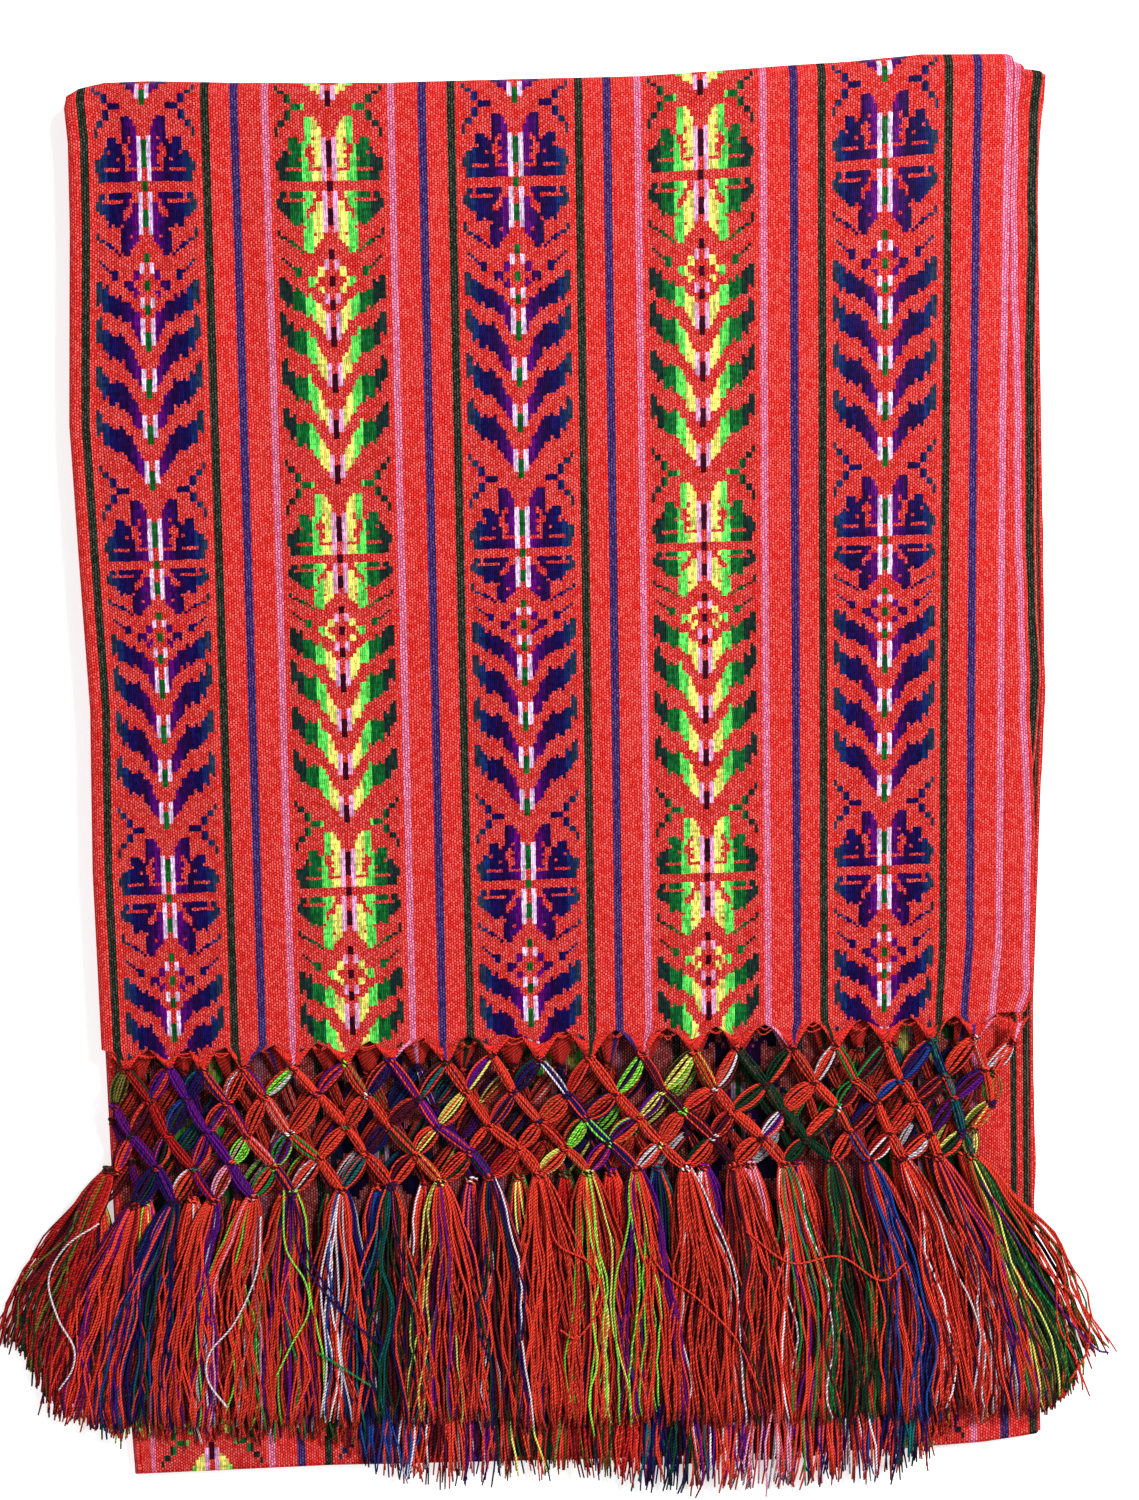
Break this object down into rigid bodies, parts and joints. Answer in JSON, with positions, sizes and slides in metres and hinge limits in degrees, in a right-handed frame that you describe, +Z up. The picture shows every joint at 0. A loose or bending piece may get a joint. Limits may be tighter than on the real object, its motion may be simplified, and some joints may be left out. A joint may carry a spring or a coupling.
{
  "type": "rebozo shawl",
  "caption": "Long striped shawl with woven flower bands, folded flat, its knotted net and tassel fringe spread out below the front layer.",
  "frame": {"origin": "middle of the flat underside of the folded cloth, where it rests", "axes": "+X from the folded side towards the selvedges, +Y from the fringe towards the upper fold, +Z up"},
  "size_m": [0.4322, 0.5461, 0.0152],
  "materials": {
    "lower_cloth": "matte cotton",
    "inner_cloth": "matte cotton",
    "front_cloth": "matte cotton",
    "knotted_yarn": "matte cotton",
    "knotted_yarn_shaded": "matte cotton",
    "tassel_coral_blend": "matte cotton",
    "tassel_navy_blend": "matte cotton",
    "tassel_purple_blend": "matte cotton",
    "tassel_teal_blend": "matte cotton",
    "tassel_coral_plain": "matte cotton",
    "tassel_lime_blend": "matte cotton",
    "tassel_pink_blend": "matte cotton"
  },
  "bodies": {
    "root": {"back_fold": "lower_cloth", "inner_layers": "inner_cloth", "front_layer": "front_cloth", "front_lattice": "knotted_yarn", "under_lattice": "knotted_yarn_shaded", "tassel_front_01": "tassel_coral_blend", "tassel_front_02": "tassel_navy_blend", "tassel_front_03": "tassel_purple_blend", "tassel_front_04": "tassel_teal_blend", "tassel_front_05": "tassel_coral_plain", "tassel_front_06": "tassel_lime_blend", "tassel_front_07": "tassel_pink_blend", "tassel_front_08": "tassel_coral_blend", "tassel_front_09": "tassel_navy_blend", "tassel_front_10": "tassel_purple_blend", "tassel_front_11": "tassel_teal_blend", "tassel_front_12": "tassel_coral_plain", "tassel_front_13": "tassel_lime_blend", "tassel_front_14": "tassel_pink_blend", "tassel_front_15": "tassel_coral_blend", "tassel_front_16": "tassel_navy_blend", "tassel_front_17": "tassel_purple_blend", "tassel_front_18": "tassel_teal_blend", "tassel_front_19": "tassel_coral_plain", "tassel_front_20": "tassel_lime_blend", "tassel_front_21": "tassel_pink_blend", "tassel_under_01": "tassel_coral_blend", "tassel_under_02": "tassel_navy_blend", "tassel_under_03": "tassel_purple_blend", "tassel_under_04": "tassel_teal_blend", "tassel_under_05": "tassel_coral_plain", "tassel_under_06": "tassel_lime_blend", "tassel_under_07": "tassel_pink_blend", "tassel_under_08": "tassel_coral_blend", "tassel_under_09": "tassel_navy_blend", "tassel_under_10": "tassel_purple_blend", "tassel_under_11": "tassel_teal_blend", "tassel_under_12": "tassel_coral_plain", "tassel_under_13": "tassel_lime_blend", "tassel_under_14": "tassel_pink_blend", "tassel_under_15": "tassel_coral_blend", "tassel_under_16": "tassel_navy_blend", "tassel_under_17": "tassel_purple_blend", "tassel_under_18": "tassel_teal_blend", "tassel_under_19": "tassel_coral_plain", "tassel_under_20": "tassel_lime_blend", "tassel_under_21": "tassel_pink_blend"}
  },
  "joints": []
}
